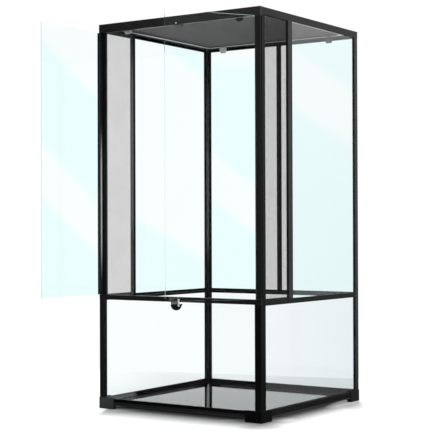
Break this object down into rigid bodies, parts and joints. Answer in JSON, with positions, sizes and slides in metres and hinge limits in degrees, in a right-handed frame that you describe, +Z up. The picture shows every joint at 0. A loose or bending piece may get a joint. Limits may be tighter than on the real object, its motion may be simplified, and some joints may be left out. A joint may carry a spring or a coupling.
{
  "type": "terrarium cabinet",
  "caption": "Tall glass terrarium cabinet: black angle frame, glazed tub, open swinging glass doors, mesh strips in the sides, lift-out mesh top and a turn lock.",
  "frame": {"origin": "on the floor under the middle of the frame, between the four feet", "axes": "+X to the right seen from the front, +Y to the back, +Z up; the doors open towards -Y"},
  "size_m": [0.609, 0.9001, 1.22],
  "materials": {
    "frame_black": "satin black powder coat",
    "foot_black": "moulded black plastic",
    "pane_glass": "clear polished",
    "door_glass": "clear polished",
    "floor_glass": "clear polished",
    "mesh_dark": "dark woven wire",
    "screen_alu": "satin anodised",
    "rubber_black": "matt rubber",
    "nylon_black": "matt nylon",
    "steel_bright": "bright zinc",
    "clamp_grey": "satin",
    "lever_black": "gloss",
    "fin_chrome": "polished",
    "clip_grey": "satin grey"
  },
  "bodies": {
    "cabinet": {"post_front_left": "frame_black", "post_front_right": "frame_black", "post_rear_left": "frame_black", "post_rear_right": "frame_black", "jamb_channel_left": "frame_black", "jamb_channel_right": "frame_black", "header": "frame_black", "top_rail_left": "frame_black", "top_rail_right": "frame_black", "top_rail_rear": "frame_black", "sill_rail": "frame_black", "mid_rail_left": "frame_black", "mid_rail_right": "frame_black", "mid_rail_rear": "frame_black", "bottom_rail_front": "frame_black", "bottom_rail_left": "frame_black", "bottom_rail_right": "frame_black", "bottom_rail_rear": "frame_black", "foot_front_left": "foot_black", "foot_front_right": "foot_black", "foot_rear_left": "foot_black", "foot_rear_right": "foot_black", "mullion_left": "frame_black", "mullion_right": "frame_black", "mullion_rear": "frame_black", "corner_keys": "foot_black", "frame_screws": "steel_bright", "floor_pane": "floor_glass", "lower_pane_front": "pane_glass", "lower_pane_left": "pane_glass", "lower_pane_right": "pane_glass", "lower_pane_rear": "pane_glass", "upper_pane_left": "pane_glass", "upper_pane_right": "pane_glass", "upper_pane_rear_left": "pane_glass", "upper_pane_rear_right": "pane_glass", "glazing_tape": "rubber_black", "vent_frame_left": "frame_black", "vent_frame_right": "frame_black", "vent_mesh_left": "mesh_dark", "vent_mesh_right": "mesh_dark", "hinge_bushes": "nylon_black", "door_stop": "foot_black"},
    "left_door": {"left_door_glass": "door_glass", "left_door_stile": "frame_black", "left_door_pins": "steel_bright"},
    "right_door": {"right_door_glass": "door_glass", "right_door_stile": "frame_black", "right_door_pins": "steel_bright", "lock_clamp": "clamp_grey"},
    "lock": {"lock_spindle": "steel_bright", "lock_lever": "lever_black", "lock_fin": "fin_chrome"},
    "top_screen": {"screen_frame": "screen_alu", "screen_mesh": "mesh_dark", "screen_spline": "rubber_black"},
    "clip_front_left": {"clip_front_left": "clip_grey"},
    "clip_front_right": {"clip_front_right": "clip_grey"},
    "clip_rear_left": {"clip_rear_left": "clip_grey"},
    "clip_rear_right": {"clip_rear_right": "clip_grey"}
  },
  "joints": [
    {"name": "left_door_hinge", "type": "hinge", "parent": "cabinet", "child": "left_door", "pos_m": [-0.29875, -0.29875, 0.36], "axis": [0, 0, 1], "range_deg": [-27.5, 87.5]},
    {"name": "right_door_hinge", "type": "hinge", "parent": "cabinet", "child": "right_door", "pos_m": [0.29875, -0.29875, 0.36], "axis": [0, 0, 1], "range_deg": [-57, 58]},
    {"name": "lock_turn", "type": "hinge", "parent": "right_door", "child": "lock", "pos_m": [0.1536, -0.52226, 0.367], "axis": [-0.8387, 0.5446, 0], "range_deg": [0, 90]},
    {"name": "screen_lift", "type": "slide", "parent": "cabinet", "child": "top_screen", "axis": [0, 0, 1], "range_m": [0, 0.15]},
    {"name": "clip_front_left_turn", "type": "hinge", "parent": "top_screen", "child": "clip_front_left", "pos_m": [-0.211, -0.271, 1.2], "axis": [0, 0, 1], "range_deg": [0, 90]},
    {"name": "clip_front_right_turn", "type": "hinge", "parent": "top_screen", "child": "clip_front_right", "pos_m": [0.211, -0.271, 1.2], "axis": [0, 0, 1], "range_deg": [0, 90]},
    {"name": "clip_rear_left_turn", "type": "hinge", "parent": "top_screen", "child": "clip_rear_left", "pos_m": [-0.211, 0.271, 1.2], "axis": [0, 0, 1], "range_deg": [0, 90]},
    {"name": "clip_rear_right_turn", "type": "hinge", "parent": "top_screen", "child": "clip_rear_right", "pos_m": [0.211, 0.271, 1.2], "axis": [0, 0, 1], "range_deg": [0, 90]}
  ]
}
